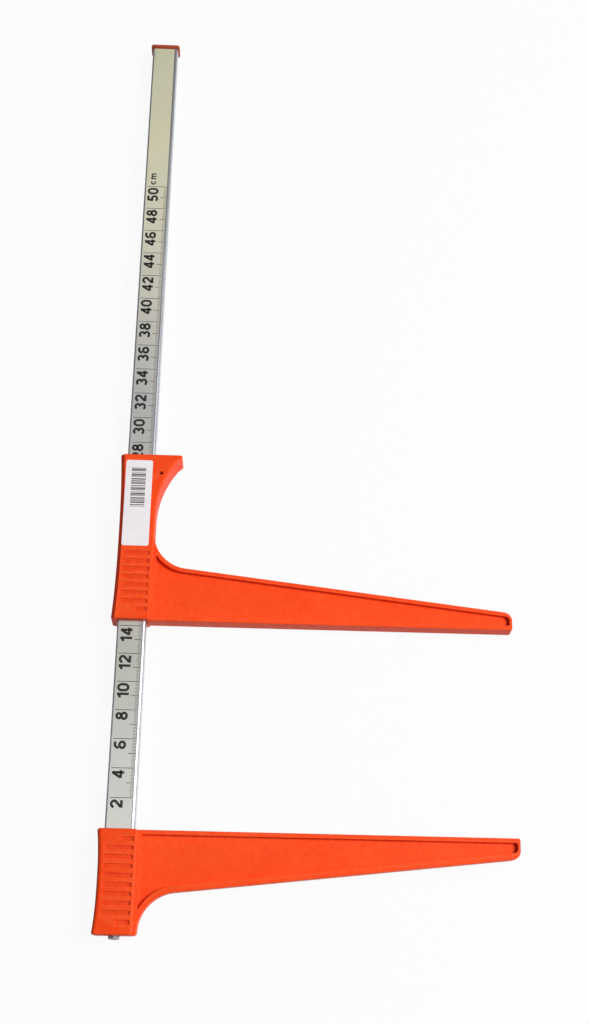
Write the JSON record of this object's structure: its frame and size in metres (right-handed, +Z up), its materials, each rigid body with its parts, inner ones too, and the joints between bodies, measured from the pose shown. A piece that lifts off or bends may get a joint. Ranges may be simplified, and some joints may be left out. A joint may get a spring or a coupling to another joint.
{
  "type": "tree caliper",
  "caption": "Tree caliper: ruled aluminium beam with a fixed plastic jaw at its foot and a long-armed plastic jaw that slides along it.",
  "frame": {"origin": "on the resting plane under the fixed jaw's measuring face, at the middle of the beam's width", "axes": "+Y along the beam towards the cap, as the readings grow; +X along the jaws towards their tips; +Z up, out of the scale side, from the heads' backs"},
  "size_m": [0.2789, 0.7058, 0.0202],
  "materials": {
    "beam_metal": "satin anodised",
    "scale_print": "matt print with black graduations",
    "jaw_plastic": "moulded, fine satin grain",
    "plated_steel": "zinc plated",
    "label_paper": "matt white film",
    "glide_plastic": "slippery natural plastic",
    "adjuster_brass": "turned"
  },
  "bodies": {
    "frame": {"beam": "beam_metal", "scale_strip": "scale_print", "end_cap": "jaw_plastic", "fixed_jaw": "jaw_plastic", "clamp_bolt": "plated_steel", "bolt_washer": "plated_steel", "anchor_plug": "plated_steel", "anchor_pins": "plated_steel"},
    "slider": {"sliding_jaw": "jaw_plastic", "label": "label_paper", "lower_left_shoe": "glide_plastic", "upper_left_shoe": "glide_plastic", "lower_right_shoe": "glide_plastic", "upper_right_shoe": "glide_plastic", "lower_front_pad": "glide_plastic", "upper_front_pad": "glide_plastic", "lower_back_pad": "glide_plastic", "upper_back_pad": "glide_plastic", "lower_adjuster": "adjuster_brass", "upper_adjuster": "adjuster_brass"}
  },
  "joints": [
    {"name": "jaw_slide", "type": "slide", "parent": "frame", "child": "slider", "axis": [0, 1, 0], "range_m": [-0.1444, 0.364]}
  ]
}
